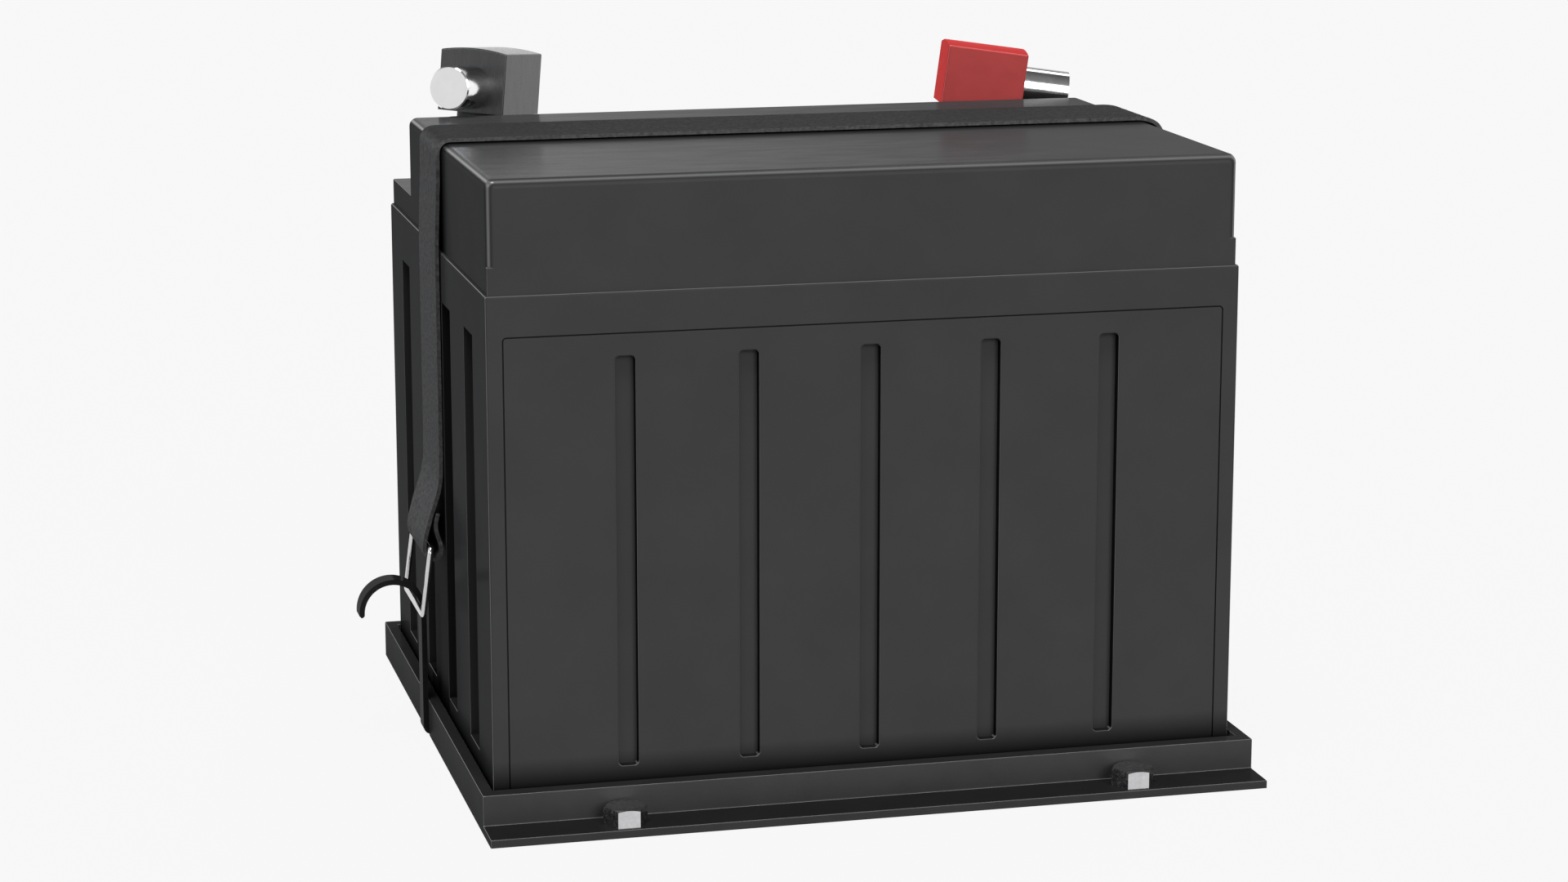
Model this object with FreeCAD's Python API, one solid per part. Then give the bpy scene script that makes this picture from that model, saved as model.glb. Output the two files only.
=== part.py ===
import FreeCAD, Part
import math
import os

Vec = FreeCAD.Vector
ACROSS = Vec(1, 0, 0)
ALONG = Vec(0, 1, 0)
UP = Vec(0, 0, 1)

# Millimetres. X runs along the tray's front, Y towards the back, Z up.
# x = 0 and y = 0 are the middle of the case, z = 0 is the tray's underside.

# ---- case
case_half_width = 130.0
case_half_depth = 107.5
case_top = 178.6
case_edge = 0.8
case_wall = 6.4
case_floor = 3.0
cavity_half_width = case_half_width - case_wall
cavity_half_depth = case_half_depth - case_wall
partition = 2.0
cells = 6
step_side_wall = 4.4
step_end_wall = 4.3
step_drop = 10.6
step_half_width = case_half_width - step_side_wall
step_half_depth = case_half_depth - step_end_wall
step_z = case_top - step_drop

# ---- tray
tray_rim = 13.3
tray_floor = 6.0
tray_side_play = 1.0
tray_front_play = 4.7
tray_back_play = 1.1
tray_side_wall = 4.2
tray_front_wall = 5.8
tray_back_wall = 5.0
flange_reach = 15.0
flange_thick = 2.8
tray_inner_half = case_half_width + tray_side_play
tray_inner_front = -case_half_depth - tray_front_play
tray_inner_back = case_half_depth + tray_back_play
tray_half_width = tray_inner_half + tray_side_wall
tray_front = tray_inner_front - tray_front_wall
tray_back = tray_inner_back + tray_back_wall
flange_front = tray_front - flange_reach
edge_round = 0.5
nut_inset = 46.5
nut_reach = 7.5
nut_x = tray_half_width - nut_inset
nut_y = tray_front - nut_reach
nut_across_flats = 13.0
nut_height = 6.2
nut_bevel = 0.7
nut_bore = 4.0
nut_bore_depth = 5.0
stud_hole = 4.5

# ---- the case's grooves, slots and panel lines
panel_inset = 5.5
panel_foot = 5.0
panel_head = 13.7
panel_line = 0.5
panel_line_depth = 0.4
panel_half_width = case_half_width - panel_inset
panel_low = tray_floor + panel_foot
panel_high = case_top - panel_head
groove_width = 6.9
groove_pitch = 41.85
groove_foot = 6.0
groove_head = 7.9
groove_depth = 3.2
groove_corner = 1.5
groove_low = panel_low + groove_foot
groove_high = panel_high - groove_head
slot_width = 18.7
slot_pitch = 47.5
slot_foot = 7.0
slot_head = 3.9
slot_depth = 3.6
slot_low = panel_low + slot_foot
slot_high = panel_high - slot_head
mouth_round = 0.4

# ---- lid
lid_inset = 1.0
lid_band = 9.35
lid_rise = 37.95
lid_wall = 3.5
ledge_depth = 44.2
lid_band_top = case_top + lid_band
lid_top = case_top + lid_rise
block_back = case_half_depth - ledge_depth
block_round = 3.0
tower_radius = 15.0
tower_top = -3.0
tower_round = 1.0
vent_drop = 14.55
vent_z = lid_top - vent_drop
arrestor_radius = 5.0
arrestor_thick = 2.8

# ---- cells
plate_end_play = 4.1
plate_foot = 5.0
plate_drop = 28.0
plate_half = cavity_half_depth - plate_end_play
plate_low = tray_floor + case_floor + plate_foot
plate_high = step_z - plate_drop
negative_plate = 2.6
separator_thick = 1.2
positive_count = 4
stack_play = 1.6666667
separator_past_end = 2.0
separator_past_foot = 3.0
separator_past_head = 4.0
separator_half = plate_half + separator_past_end
separator_low = plate_low - separator_past_foot
separator_high = plate_high + separator_past_head
bar_end_play = 9.1
bar_depth = 24.0
bar_side_play = 2.7666667
bar_drop = 14.0
bar_thick = 6.0
lug_near_inset = 2.0
lug_far_inset = 8.0
bar_high = step_z - bar_drop
bar_low = bar_high - bar_thick
bar_far = cavity_half_depth - bar_end_play
bar_near = bar_far - bar_depth
lug_near = bar_near + lug_near_inset
lug_far = bar_far - lug_far_inset
link_radius = 2.9
cover_plate = 3.0
cover_play = 0.1
neck_outer = 7.0
neck_inner = 4.0
neck_rise = 14.0
neck_top = step_z + neck_rise
cap_wall = 1.2
cap_skirt = 6.0
cap_crown = 1.4
cap_low = neck_top - cap_skirt
cap_top = neck_top + cap_crown

# ---- posts and terminal heads, in each head's own frame: z = 0 under the head
seat_from_back = 22.5
negative_seat_inset = 34.2
negative_seat_drop = 1.55
positive_seat_inset = 35.2
positive_seat_drop = 4.95
negative_seat = Vec(negative_seat_inset - case_half_width, case_half_depth - seat_from_back,
                    lid_top - negative_seat_drop)
negative_up = Vec(0.091, 0.048, 0.9947)
negative_yaw = 234.2
negative_foot_shift = 5.3333333
negative_post = 7.95
positive_seat = Vec(case_half_width - positive_seat_inset, case_half_depth - seat_from_back,
                    lid_top - positive_seat_drop)
positive_up = Vec(0.139, 0.007, 0.9903)
positive_yaw = -9.98
positive_foot_shift = -9.8333333
positive_post = 8.75
foot_behind_bar = 4.0
foot_y = (bar_near + bar_far) / 2 + foot_behind_bar
foot_radius = 7.5
foot_past_case = 0.4
foot_top = case_top + foot_past_case
bush_radius = 12.0
bush_low = -30.0
post_low = -38.0
post_top = 17.4
post_chamfer = 0.6
collar_radius = 11.5
running_gap = 0.05
head_half_length = 15.45
head_half_width = 13.4
head_height = 23.75
head_crown = 1.3
head_round = 0.6
shell_wall = 1.9
core_top = 20.5
core_bore_depth = 17.5
stub_radius = 8.0
stub_spigot = 7.0
stub_spigot_start = 9.7
stub_height = 9.3
stub_length = 18.5
stub_chamfer = 0.45

# ---- hooks and bails, as they are on the left: a bail stands on the hook's middle
hook_thick = 1.9
hook_half = 4.0
hook_outer = 12.05
hook_centre_z = 46.5
hook_tip = 1.4
hook_tip_chamfer = 0.7
hook_bend = 1.1
hook_floor = 0.3
hook_lie = 0.05
hook_inside = -tray_half_width - hook_lie
toe_length = 7.0
notch_play = 0.5
notch_length = 7.65
notch_slope = 8.0
bail_wire = 1.05
bail_half = 20.6
bail_corner = 2.0
bail_foot = (8.507, 2.606)
bail_rise = (3.193, 24.094)

# ---- strap: (out, up) points, the shoulders from the case's and lid's edges, the rest from the bails
strap_middle = 4.6
strap_half = 19.0
strap_thick = 1.1
strap_lie = 0.25
left_shoulder = [(-0.2, 4.4), (0.87, -0.6)]
left_drop = [(-4.73, 36.8), (-4.65, 28.0), (-4.4, 23.7), (-3.5, 19.2), (-2.1, 14.9), (-0.85, 11.5),
             (0.15, 7.8), (1.15, 4.4)]
left_loop = [(1.65, 2.0), (1.8, 0.0), (1.6, -2.0), (0.4, -3.8), (-1.4, -4.45), (-3.1, -3.6), (-3.85, -1.6),
             (-3.55, 0.9), (-2.7, 3.5), (-1.95, 6.0), (-1.9, 8.4), (-2.3, 10.4), (-2.75, 12.2)]
right_shoulder = [(-4.0, 0.8), (-1.0, 0.4), (1.2, -0.35), (3.2, -1.75), (4.6, -4.15), (5.2, -7.55),
                  (5.4, -16.55)]
right_drop = [(-0.1, 76.8), (-0.05, 26.8), (0.05, 18.8), (0.3, 11.8), (0.9, 6.3)]
right_loop = [(1.65, 2.0), (1.8, 0.0), (1.6, -2.0), (0.4, -3.8), (-1.4, -4.45), (-3.1, -3.6), (-3.85, -1.6),
              (-3.55, 0.9), (-2.7, 3.5), (-1.85, 6.0), (-1.45, 8.4), (-1.4, 10.4), (-1.45, 12.4)]


def box(low, high):
    size = Vec(*high) - Vec(*low)
    return Part.makeBox(size.x, size.y, size.z, Vec(*low))


def rod(radius, start, length, direction=UP):
    return Part.makeCylinder(radius, length, start, direction)


def tube(outer, inner, start, length):
    return rod(outer, start, length).cut(rod(inner, start, length))


def upright(edge):
    direction = edge.tangentAt(edge.FirstParameter)
    return abs(direction.z) > 0.99


def at_height(edge, height):
    bounds = edge.BoundBox
    return abs(bounds.ZMin - height) < 1e-6 and abs(bounds.ZMax - height) < 1e-6


def at_depth(edge, depth):
    bounds = edge.BoundBox
    return abs(bounds.YMin - depth) < 1e-6 and abs(bounds.YMax - depth) < 1e-6


def rounded(shape, radius, wanted):
    return shape.makeFillet(radius, [edge for edge in shape.Edges if wanted(edge)])


def prism(points, y_low, y_high):
    """Closed outline of (x, z) points, drawn out along Y."""
    corners = [Vec(x, y_low, z) for x, z in points]
    face = Part.Face(Part.makePolygon(corners + corners[:1]))
    return face.extrude(Vec(0, y_high - y_low, 0))


def arc_points(centre, radius, start, end, steps):
    """(x, z) points on an arc; angles in degrees from +X towards +Z."""
    points = []
    for i in range(steps + 1):
        angle = math.radians(start + (end - start) * i / steps)
        points.append((centre[0] + radius * math.cos(angle), centre[1] + radius * math.sin(angle)))
    return points


def mirrored(shape):
    return shape.mirror(Vec(0, 0, 0), ACROSS)


# ---------------------------------------------------------------- tray
def make_tray():
    outer = box((-tray_half_width, tray_front, 0), (tray_half_width, tray_back, tray_rim))
    flange = box((-tray_half_width, flange_front, 0), (tray_half_width, tray_front + 1, flange_thick))
    inner = box((-tray_inner_half, tray_inner_front, tray_floor),
                (tray_inner_half, tray_inner_back, tray_rim + 1))
    tray = outer.fuse(flange).removeSplitter()
    tray = rounded(tray, edge_round, lambda edge: upright(edge) or at_height(edge, tray_rim)
                   or at_height(edge, flange_thick))
    tray = tray.cut(inner)
    tray = rounded(tray, edge_round, lambda edge: at_height(edge, tray_rim)
                   and abs(edge.BoundBox.Center.x) < tray_inner_half + 0.1
                   and tray_inner_front - 0.1 < edge.BoundBox.Center.y < tray_inner_back + 0.1)
    for x in (-nut_x, nut_x):
        tray = tray.cut(rod(stud_hole, Vec(x, nut_y, -1), flange_thick + 2))
    notch = hook_notch()
    return tray.cut(notch).cut(mirrored(notch))


def hook_pivot():
    return hook_inside + hook_bend, hook_floor + hook_thick + hook_bend


def hook_centre():
    return hook_inside - hook_outer, hook_centre_z


def bail_bars():
    low = (hook_centre()[0] + bail_foot[0], hook_centre()[1] + bail_foot[1])
    return low, (low[0] + bail_rise[0], low[1] + bail_rise[1])


def hook_notch():
    """Pocket under the tray's edge; its ceiling rises inwards so the toe can rock."""
    centre = hook_pivot()
    radius = hook_bend - running_gap
    inner_x = centre[0] + notch_length
    rise = notch_length * math.tan(math.radians(notch_slope))
    low = strap_middle - hook_half - notch_play
    high = strap_middle + hook_half + notch_play
    block = prism([(-tray_half_width - 1, -1), (-tray_half_width - 1, centre[1]),
                   (centre[0], centre[1]), (centre[0], centre[1] - radius),
                   (inner_x, centre[1] - radius + rise), (inner_x, -1)], low, high)
    bead = rod(radius, Vec(centre[0], low - 1, centre[1]), high - low + 2, ALONG)
    return block.cut(bead)


def make_nuts():
    nuts = []
    for x in (-nut_x, nut_x):
        corner = nut_across_flats / math.sqrt(3)
        points = [Vec(x + corner * math.cos(math.radians(60 * i)),
                      nut_y + corner * math.sin(math.radians(60 * i)), flange_thick) for i in range(6)]
        nut = Part.Face(Part.makePolygon(points + points[:1])).extrude(Vec(0, 0, nut_height))
        cone = Part.makeCone(nut_across_flats / 2 + 6 * nut_bevel, nut_across_flats / 2 - nut_bevel / 4,
                             3 * nut_bevel, Vec(x, nut_y, flange_thick + nut_height - 3 * nut_bevel))
        shank = rod(corner + 1, Vec(x, nut_y, flange_thick), nut_height - 3 * nut_bevel)
        nut = nut.common(cone.fuse(shank))
        nuts.append(nut.cut(rod(nut_bore, Vec(x, nut_y, flange_thick), nut_bore_depth)))
    return Part.makeCompound(nuts)


# ---------------------------------------------------------------- case
def cell_width():
    return (2 * cavity_half_width - (cells - 1) * partition) / cells


def cell_centre(index):
    return -cavity_half_width + cell_width() / 2 + index * (cell_width() + partition)


def bar_half_length():
    return cell_width() / 2 - bar_side_play


def positive_plate():
    """Thickness that is left for each positive plate once the rest of the stack has its own."""
    others = (positive_count + 1) * negative_plate + 2 * positive_count * separator_thick
    return (cell_width() - 2 * stack_play - others) / positive_count


def foot_places():
    return cell_centre(0) + negative_foot_shift, cell_centre(cells - 1) + positive_foot_shift


def front_groove(x, y):
    groove = box((x - groove_width / 2, y - groove_depth, groove_low),
                 (x + groove_width / 2, y + groove_depth, groove_high))
    return rounded(groove, groove_corner, lambda edge: abs(edge.tangentAt(edge.FirstParameter).y) > 0.99)


def side_slot(x, y):
    return box((x - slot_depth, y - slot_width / 2, slot_low),
               (x + slot_depth, y + slot_width / 2, slot_high))


def panel_ring(y):
    outer = box((-panel_half_width, y - panel_line_depth, panel_low),
                (panel_half_width, y + panel_line_depth, panel_high))
    inner = box((-panel_half_width + panel_line, y - 1, panel_low + panel_line),
                (panel_half_width - panel_line, y + 1, panel_high - panel_line))
    corners = lambda edge: abs(edge.tangentAt(edge.FirstParameter).y) > 0.99
    outer = rounded(outer, groove_corner, corners)
    return outer.cut(rounded(inner, groove_corner - panel_line, corners))


def make_case():
    case = box((-case_half_width, -case_half_depth, tray_floor),
               (case_half_width, case_half_depth, case_top))
    case = rounded(case, case_edge, lambda edge: not at_height(edge, tray_floor))
    for y in (-case_half_depth, case_half_depth):
        for k in range(-2, 3):
            case = case.cut(front_groove(k * groove_pitch, y))
    for x in (-case_half_width, case_half_width):
        for k in (-1.5, -0.5, 0.5, 1.5):
            case = case.cut(side_slot(x, k * slot_pitch))
    case = rounded(case, mouth_round, on_a_mouth)
    for y in (-case_half_depth, case_half_depth):
        case = case.cut(panel_ring(y))
    floor_z = tray_floor + case_floor
    for index in range(cells):
        x = cell_centre(index)
        half = cell_width() / 2
        case = case.cut(box((x - half, -cavity_half_depth, floor_z),
                            (x + half, cavity_half_depth, step_z + 1)))
    case = case.cut(box((-step_half_width, -step_half_depth, step_z),
                        (step_half_width, step_half_depth, case_top + 1)))
    for index in range(cells - 1):
        x = cell_centre(index) + cell_width() / 2
        hole = rod(link_radius, Vec(x - 1, link_y(index), link_z()), partition + 2, ACROSS)
        case = case.cut(hole)
    return case


def on_a_mouth(edge):
    """Edges where a groove or slot meets the case's outer faces."""
    bounds = edge.BoundBox
    inside_height = bounds.ZMin > groove_low - 0.1 and bounds.ZMax < slot_high + 0.1
    on_face = at_depth(edge, case_half_depth) or at_depth(edge, -case_half_depth)
    on_side = abs(abs(bounds.XMin) - case_half_width) < 1e-6 and abs(bounds.XMax - bounds.XMin) < 1e-6
    return inside_height and (on_face or on_side)


# ---------------------------------------------------------------- cells
def link_z():
    return (bar_low + bar_high) / 2


def link_y(index):
    return (bar_near + bar_far) / 2 * (-1 if index % 2 == 0 else 1)


def plate_side(index, positive):
    """+1 where a cell's bar of this kind lies at the back, -1 at the front."""
    back = (index % 2 == 1) == positive
    return 1 if back else -1


def stack_places(index):
    """X spans of one cell's plates and separators, from its left wall to its right."""
    places = []
    thick = {"negative": negative_plate, "positive": positive_plate(), "separator": separator_thick}
    order = ["negative"]
    for _ in range(positive_count):
        order += ["separator", "positive", "separator", "negative"]
    x = cell_centre(index) - sum(thick[kind] for kind in order) / 2
    for kind in order:
        places.append((kind, x, x + thick[kind]))
        x += thick[kind]
    return places


def make_plates(kind):
    plates = []
    for index in range(cells):
        side = plate_side(index, kind == "positive")
        low, high = sorted((side * lug_near, side * lug_far))
        for found, x0, x1 in stack_places(index):
            if found == kind:
                plate = box((x0, -plate_half, plate_low), (x1, plate_half, plate_high))
                lug = box((x0, low, plate_high), (x1, high, bar_low))
                plates.append(plate.fuse(lug).removeSplitter())
    return Part.makeCompound(plates)


def make_separators():
    sheets = []
    for index in range(cells):
        for found, x0, x1 in stack_places(index):
            if found == "separator":
                sheets.append(box((x0, -separator_half, separator_low), (x1, separator_half, separator_high)))
    return Part.makeCompound(sheets)


def make_bars(kind):
    bars = []
    for index in range(cells):
        side = plate_side(index, kind == "positive")
        low, high = sorted((side * bar_near, side * bar_far))
        x = cell_centre(index)
        half = bar_half_length()
        bars.append(box((x - half, low, bar_low), (x + half, high, bar_high)))
    return Part.makeCompound(bars)


def make_links():
    links = []
    for index in range(cells - 1):
        start = cell_centre(index) + bar_half_length()
        length = cell_centre(index + 1) - bar_half_length() - start
        links.append(rod(link_radius, Vec(start, link_y(index), link_z()), length, ACROSS))
    return Part.makeCompound(links)


def make_inner_cover():
    half_width = step_half_width - cover_play
    half_depth = step_half_depth - cover_play
    cover = box((-half_width, -half_depth, step_z), (half_width, half_depth, step_z + cover_plate))
    for index in range(cells):
        cover = cover.fuse(rod(neck_outer, Vec(cell_centre(index), 0, step_z), neck_top - step_z))
    for index in range(cells):
        cover = cover.cut(rod(neck_inner, Vec(cell_centre(index), 0, step_z - 1), neck_top - step_z + 2))
    for x in foot_places():
        cover = cover.cut(rod(collar_radius, Vec(x, foot_y, step_z - 1), cover_plate + 2))
    return cover.removeSplitter()


def make_post_seals():
    return Part.makeCompound([tube(collar_radius, foot_radius, Vec(x, foot_y, step_z), cover_plate)
                              for x in foot_places()])


def make_valve_caps():
    caps = []
    for index in range(cells):
        start = Vec(cell_centre(index), 0, cap_low)
        cap = rod(neck_outer + cap_wall, start, cap_top - cap_low)
        caps.append(cap.cut(rod(neck_outer, start, neck_top - cap_low)))
    return Part.makeCompound(caps)


# ---------------------------------------------------------------- lid
def make_lid():
    half_width = case_half_width - lid_inset
    half_depth = case_half_depth - lid_inset
    band = box((-half_width, -half_depth, case_top), (half_width, half_depth, lid_band_top))
    band = rounded(band, edge_round, lambda edge: upright(edge) or at_height(edge, lid_band_top))
    block = box((-half_width, -half_depth, lid_band_top - 2 * block_round), (half_width, block_back, lid_top))
    block = rounded(block, block_round, lambda edge: upright(edge) or at_height(edge, lid_top))
    lid = band.fuse(block)
    inner_width = half_width - lid_wall
    inner_depth = half_depth - lid_wall
    for seat, up, yaw in heads():
        tower = placed(rod(tower_radius, Vec(0, 0, 2 * bush_low), tower_top - 2 * bush_low), seat, up, yaw)
        tower = rounded(tower, tower_round, lambda edge: edge.BoundBox.ZMin > lid_band_top)
        room = box((-half_width, block_back + lid_wall / 4, lid_band_top - lid_wall / 2),
                   (half_width, half_depth, lid_top))
        lid = lid.fuse(tower.common(room))
    lid = lid.cut(box((-inner_width, -inner_depth, case_top - 1),
                      (inner_width, block_back - lid_wall, lid_top - lid_wall)))
    lid = lid.cut(box((-inner_width, -inner_depth, case_top - 1),
                      (inner_width, inner_depth, lid_band_top - lid_wall)))
    for seat, up, yaw in heads():
        lid = lid.cut(placed(rod(bush_radius, Vec(0, 0, 2 * bush_low), -3 * bush_low), seat, up, yaw))
    lid = lid.cut(rod(arrestor_radius, Vec(0, block_back - 2 * lid_wall, vent_z), 3 * lid_wall, ALONG))
    return lid.removeSplitter()


def make_arrestor():
    return rod(arrestor_radius, Vec(0, block_back - lid_wall, vent_z), arrestor_thick, ALONG)


# ---------------------------------------------------------------- posts and heads
def heads():
    return ((negative_seat, negative_up, negative_yaw), (positive_seat, positive_up, positive_yaw))


def placed(shape, seat, up, yaw):
    """Turns a head's own frame (x along its stub, z along its post) into the part's frame."""
    z_axis = Vec(up).normalize()
    flat = Vec(math.cos(math.radians(yaw)), math.sin(math.radians(yaw)), 0)
    y_axis = z_axis.cross(flat).normalize()
    x_axis = y_axis.cross(z_axis).normalize()
    matrix = FreeCAD.Matrix(x_axis.x, y_axis.x, z_axis.x, seat.x, x_axis.y, y_axis.y, z_axis.y, seat.y,
                            x_axis.z, y_axis.z, z_axis.z, seat.z, 0, 0, 0, 1)
    moved = shape.copy()
    moved.Placement = FreeCAD.Placement(matrix)
    return moved


def make_post(seat, up, yaw, radius, foot_x):
    post = rod(radius, Vec(0, 0, post_low), post_top - post_low)
    post = post.makeChamfer(post_chamfer, [edge for edge in post.Edges if at_height(edge, post_top)])
    collar = rod(collar_radius, Vec(0, 0, tower_top), -tower_top - running_gap)
    post = placed(post.fuse(collar).removeSplitter(), seat, up, yaw)
    foot = rod(foot_radius, Vec(foot_x, foot_y, bar_high), foot_top - bar_high)
    return post.fuse(foot).removeSplitter()


def make_bushes():
    bushes = []
    for radius, (seat, up, yaw) in zip((negative_post, positive_post), heads()):
        bush = tube(bush_radius, radius, Vec(0, 0, bush_low), tower_top - bush_low)
        bushes.append(placed(bush, seat, up, yaw))
    return Part.makeCompound(bushes)


def head_outline():
    """The head's outside: a box whose top bulges across its width."""
    side = head_height - head_crown
    left = Vec(-head_half_length, -head_half_width, side)
    crown = Vec(-head_half_length, 0, head_height)
    right = Vec(-head_half_length, head_half_width, side)
    foot_right = Vec(-head_half_length, head_half_width, 0)
    foot_left = Vec(-head_half_length, -head_half_width, 0)
    wire = Part.Wire([Part.Arc(left, crown, right).toShape(), Part.makeLine(right, foot_right),
                      Part.makeLine(foot_right, foot_left), Part.makeLine(foot_left, left)])
    body = Part.Face(wire).extrude(Vec(2 * head_half_length, 0, 0))
    return rounded(body, head_round, lambda edge: edge.BoundBox.ZMax > 1)


def make_cover(seat, up, yaw):
    half_length = head_half_length - shell_wall
    half_width = head_half_width - shell_wall
    shell = head_outline().cut(box((-half_length, -half_width, -1), (half_length, half_width, core_top)))
    shell = shell.cut(rod(stub_spigot, Vec(0, 0, stub_height), 2 * head_half_length, ACROSS))
    return placed(shell, seat, up, yaw)


def make_core(seat, up, yaw, radius):
    half_length = head_half_length - shell_wall
    half_width = head_half_width - shell_wall
    core = box((-half_length, -half_width, 0), (half_length, half_width, core_top))
    core = core.cut(rod(radius + running_gap, Vec(0, 0, -1), core_bore_depth + 1))
    core = core.cut(rod(stub_spigot, Vec(stub_spigot_start, 0, stub_height), head_half_length, ACROSS))
    return placed(core, seat, up, yaw)


def make_stub(seat, up, yaw):
    free = rod(stub_radius, Vec(head_half_length, 0, stub_height), stub_length, ACROSS)
    tip = head_half_length + stub_length
    free = free.makeChamfer(stub_chamfer, [edge for edge in free.Edges if edge.BoundBox.XMin > tip - 0.01])
    spigot = rod(stub_spigot, Vec(stub_spigot_start, 0, stub_height),
                 head_half_length - stub_spigot_start + 1, ACROSS)
    return placed(free.fuse(spigot).removeSplitter(), seat, up, yaw)


# ---------------------------------------------------------------- strap, bails, hooks
def ribbon(path, thick):
    """Outline of a strip of this thickness along an open path of (x, z) points."""
    left = []
    right = []
    for i, (x, z) in enumerate(path):
        before = path[max(i - 1, 0)]
        after = path[min(i + 1, len(path) - 1)]
        turns = []
        for start, end in ((before, (x, z)), ((x, z), after)):
            if start != end:
                turns.append(math.atan2(end[1] - start[1], end[0] - start[0]))
        half_turn = math.remainder(turns[-1] - turns[0], 2 * math.pi) / 2
        heading = turns[0] + half_turn
        reach = thick / 2 / math.cos(half_turn)
        left.append((x - reach * math.sin(heading), z + reach * math.cos(heading)))
        right.append((x + reach * math.sin(heading), z - reach * math.cos(heading)))
    return left + right[::-1]


def laid(points, side, out_from, up_from):
    return [(side * (out_from + out), up_from + up) for out, up in points]


def make_strap():
    """One strip: loop round the left bail, up, over the lid, down and round the right bail."""
    lid_side = -case_half_width + lid_inset
    reach = block_round + strap_lie + strap_thick / 2
    corner = arc_points((lid_side + block_round, lid_top - block_round), reach, 180, 90, 5)
    bar_x, bar_z = bail_bars()[1]
    left = laid(left_shoulder, -1, case_half_width, case_top)
    left += laid(left_drop + left_loop, -1, -bar_x, bar_z)
    right = laid(right_shoulder, 1, case_half_width, lid_top)
    right += laid(right_drop + right_loop, 1, -bar_x, bar_z)
    path = left[::-1] + corner + right
    return prism(ribbon(path, strap_thick), strap_middle - strap_half, strap_middle + strap_half)


def make_bail():
    """Rounded wire loop, made upright over its foot, then leant to its place."""
    low, high = bail_bars()
    length = math.dist(low, high)
    pieces = []
    for height, along_z in ((0, 1), (length, -1)):
        start = Vec(0, strap_middle - bail_half + bail_corner, height)
        pieces.append(rod(bail_wire, start, 2 * (bail_half - bail_corner), ALONG))
        for side in (-1, 1):
            start = Vec(0, strap_middle + side * (bail_half - bail_corner), height)
            circle = Part.Face(Part.Wire(Part.makeCircle(bail_wire, start, ALONG)))
            turn = 90 if side * along_z > 0 else -90
            pieces.append(circle.revolve(start + UP * (along_z * bail_corner), ACROSS, turn))
    for side in (-1, 1):
        start = Vec(0, strap_middle + side * bail_half, bail_corner)
        pieces.append(rod(bail_wire, start, length - 2 * bail_corner))
    bail = pieces[0]
    for piece in pieces[1:]:
        bail = bail.fuse(piece)
    bail = bail.removeSplitter()
    lean = math.degrees(math.atan2(high[0] - low[0], high[1] - low[1]))
    bail.Placement = FreeCAD.Placement(Vec(low[0], 0, low[1]), FreeCAD.Rotation(ALONG, lean))
    return bail


def make_hook():
    """Flat strip: toe under the tray, round bend, upright shank, half-circle over the bail."""
    low = strap_middle - hook_half
    pivot_x, pivot_z = hook_pivot()
    centre = hook_centre()
    inner = hook_outer - hook_thick
    outside_x = hook_inside - hook_thick
    tip_z = hook_centre_z - hook_tip

    def at(x, z):
        return Vec(x, low, z)

    def arc(middle, radius, start, half_way, end):
        turned = []
        for angle in (start, half_way, end):
            turn = math.radians(angle)
            turned.append(at(middle[0] + radius * math.cos(turn), middle[1] + radius * math.sin(turn)))
        return Part.Arc(*turned).toShape()

    toe_x = pivot_x + toe_length
    pivot = (pivot_x, pivot_z)
    edges = [
        Part.makeLine(at(toe_x, hook_floor), at(pivot_x, hook_floor)),
        arc(pivot, hook_bend + hook_thick, 270, 225, 180),
        Part.makeLine(at(outside_x, pivot_z), at(outside_x, hook_centre_z)),
        arc(centre, inner, 0, 90, 180),
        Part.makeLine(at(centre[0] - inner, hook_centre_z), at(centre[0] - inner, tip_z)),
        Part.makeLine(at(centre[0] - inner, tip_z), at(centre[0] - hook_outer, tip_z)),
        Part.makeLine(at(centre[0] - hook_outer, tip_z), at(centre[0] - hook_outer, hook_centre_z)),
        arc(centre, hook_outer, 180, 90, 0),
        Part.makeLine(at(hook_inside, hook_centre_z), at(hook_inside, pivot_z)),
        arc(pivot, hook_bend, 180, 225, 270),
        Part.makeLine(at(pivot_x, hook_floor + hook_thick), at(toe_x, hook_floor + hook_thick)),
        Part.makeLine(at(toe_x, hook_floor + hook_thick), at(toe_x, hook_floor)),
    ]
    hook = Part.Face(Part.Wire(edges)).extrude(Vec(0, 2 * hook_half, 0))
    tips = [edge for edge in hook.Edges if at_height(edge, tip_z) and edge.Length > hook_half]
    return hook.makeChamfer(hook_tip_chamfer, tips)


# ---------------------------------------------------------------- write the pieces
negative = (negative_seat, negative_up, negative_yaw)
positive = (positive_seat, positive_up, positive_yaw)
bail = make_bail()
hook = make_hook()
pieces = {
    "tray": make_tray(),
    "tray_nuts": make_nuts(),
    "case": make_case(),
    "positive_plates": make_plates("positive"),
    "negative_plates": make_plates("negative"),
    "separators": make_separators(),
    "positive_bars": make_bars("positive"),
    "negative_bars": make_bars("negative"),
    "cell_links": make_links(),
    "inner_cover": make_inner_cover(),
    "post_seals": make_post_seals(),
    "valve_caps": make_valve_caps(),
    "lid": make_lid(),
    "flame_arrestor": make_arrestor(),
    "post_bushes": make_bushes(),
    "negative_post": make_post(*negative, negative_post, foot_places()[0]),
    "positive_post": make_post(*positive, positive_post, foot_places()[1]),
    "negative_cover": make_cover(*negative),
    "negative_core": make_core(*negative, negative_post),
    "negative_stub": make_stub(*negative),
    "positive_cover": make_cover(*positive),
    "positive_core": make_core(*positive, positive_post),
    "positive_stub": make_stub(*positive),
    "strap": make_strap(),
    "left_bail": bail,
    "right_bail": mirrored(bail),
    "left_hook": hook,
    "right_hook": mirrored(hook),
}
os.makedirs("parts", exist_ok=True)
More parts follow.
